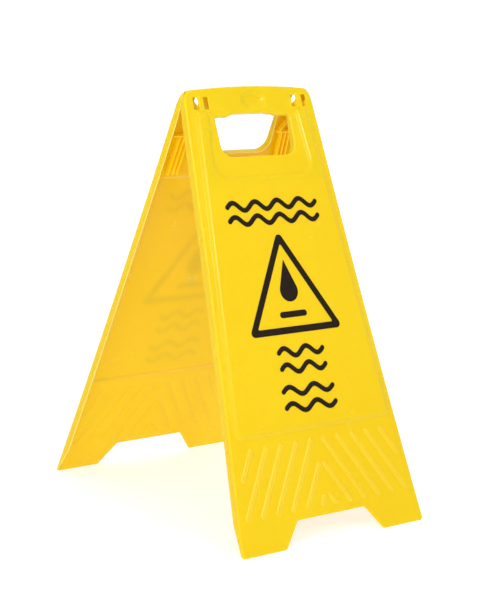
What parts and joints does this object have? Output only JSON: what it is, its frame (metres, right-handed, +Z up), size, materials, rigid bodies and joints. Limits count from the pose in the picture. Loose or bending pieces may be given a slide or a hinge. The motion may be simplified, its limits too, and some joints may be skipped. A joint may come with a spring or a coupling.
{
  "type": "wet floor sign",
  "caption": "Folding A-frame floor sign: two moulded panels hooked together at the top, each with a hand opening, raised print field, side flanges and feet.",
  "frame": {"origin": "on the floor, midway between the feet of both panels", "axes": "+X along the hinge axis, -Y out of the front panel's printed face, +Z up"},
  "size_m": [0.312, 0.4586, 0.58],
  "materials": {
    "panel_plastic": "smooth moulded polypropylene, semi-gloss",
    "hinge_plastic": "smooth moulded polypropylene, semi-gloss",
    "print_ink": "screen-printed ink film"
  },
  "bodies": {
    "front": {"front_panel": "panel_plastic", "front_handle": "panel_plastic", "front_inner_hinge_hook": "hinge_plastic", "front_outer_hinge_hook": "hinge_plastic", "front_inner_hinge_lug": "hinge_plastic", "front_outer_hinge_lug": "hinge_plastic", "front_hinge_pin": "hinge_plastic", "front_left_stiffening_ribs": "panel_plastic", "front_right_stiffening_ribs": "panel_plastic"},
    "rear": {"rear_panel": "panel_plastic", "rear_handle": "panel_plastic", "rear_inner_hinge_hook": "hinge_plastic", "rear_outer_hinge_hook": "hinge_plastic", "rear_inner_hinge_lug": "hinge_plastic", "rear_outer_hinge_lug": "hinge_plastic", "rear_hinge_pin": "hinge_plastic", "rear_left_stiffening_ribs": "panel_plastic", "rear_right_stiffening_ribs": "panel_plastic"}
  },
  "joints": [
    {"name": "fold", "type": "hinge", "parent": "front", "child": "rear", "pos_m": [0, 0, 0.5492], "axis": [-1, 0, 0], "range_deg": [0, 42.8]}
  ]
}
